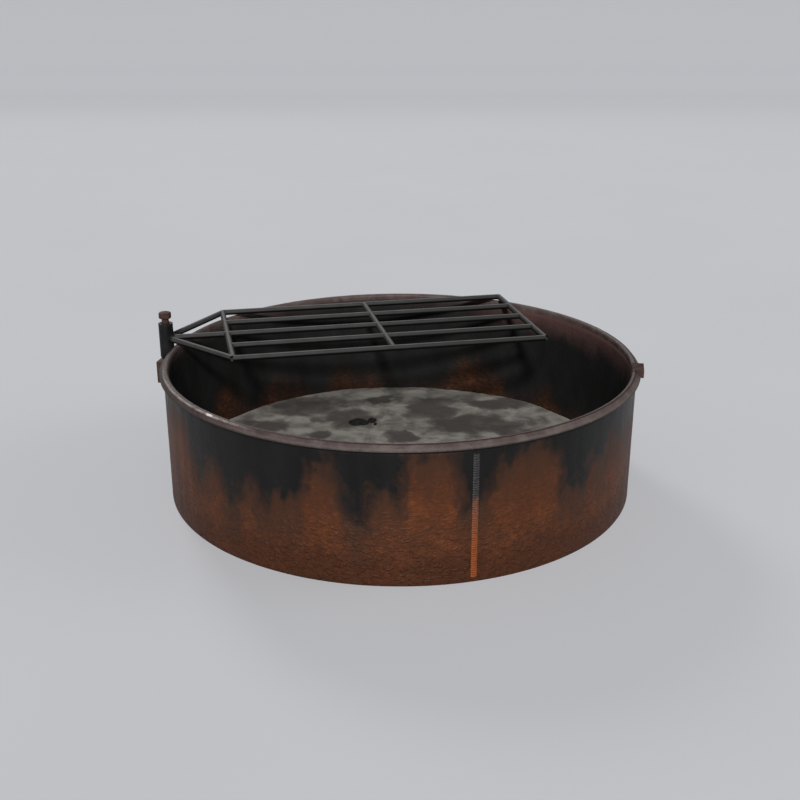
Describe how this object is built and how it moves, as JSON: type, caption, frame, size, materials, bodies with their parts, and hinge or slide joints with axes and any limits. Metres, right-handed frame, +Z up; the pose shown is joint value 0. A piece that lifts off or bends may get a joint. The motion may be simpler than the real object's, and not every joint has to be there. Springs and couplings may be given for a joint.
{
  "type": "campfire ring",
  "caption": "Round rusted steel fire ring with a flared lip, an ash bed and a welded rod cooking grate that swings and lifts on a pivot outside the wall.",
  "frame": {"origin": "middle of the ring on the ground, on the flat underside of the ash bed", "axes": "+Z up; the grate's pivot stands outside the wall on -X, and the block on the lip is close to +X"},
  "size_m": [0.9655, 0.9302, 0.3186],
  "materials": {
    "wall_steel": "matte",
    "lip_steel": "matte",
    "soot_weld": "matte",
    "seam_bead": "matte",
    "rust_steel": "matte",
    "grate_steel": "matte",
    "ash": "matte",
    "charcoal": "matte"
  },
  "bodies": {
    "ring": {"ring_wall": "wall_steel", "rim_lip": "lip_steel", "lip_weld": "soot_weld", "seam_weld": "seam_bead", "pivot_lug": "rust_steel", "lug_weld": "rust_steel", "pivot_bolt": "rust_steel", "pivot_nut": "rust_steel", "spring_washer": "rust_steel", "rim_block": "rust_steel", "ash_bed": "ash", "charcoal_large": "charcoal", "charcoal_small": "charcoal", "charcoal_chip": "charcoal"},
    "lift": {"thrust_washer": "grate_steel"},
    "grate": {"grate_sleeve": "grate_steel", "stem_bar": "grate_steel", "front_diagonal": "grate_steel", "rear_diagonal": "grate_steel", "near_crossbar": "grate_steel", "end_crossbar": "grate_steel", "mid_crossbar_1": "grate_steel", "mid_crossbar_2": "grate_steel", "mid_crossbar_3": "grate_steel", "mid_crossbar_4": "grate_steel", "front_side_bar": "grate_steel", "front_inner_bar": "grate_steel", "centre_bar": "grate_steel", "rear_inner_bar": "grate_steel", "rear_side_bar": "grate_steel"}
  },
  "joints": [
    {"name": "grate_lift", "type": "slide", "parent": "ring", "child": "lift", "axis": [0, 0, 1], "range_m": [0, 0.0102]},
    {"name": "grate_swing", "type": "hinge", "parent": "lift", "child": "grate", "pos_m": [-0.4804, 0, 0.2286], "axis": [0, 0, 1], "continuous": true}
  ]
}
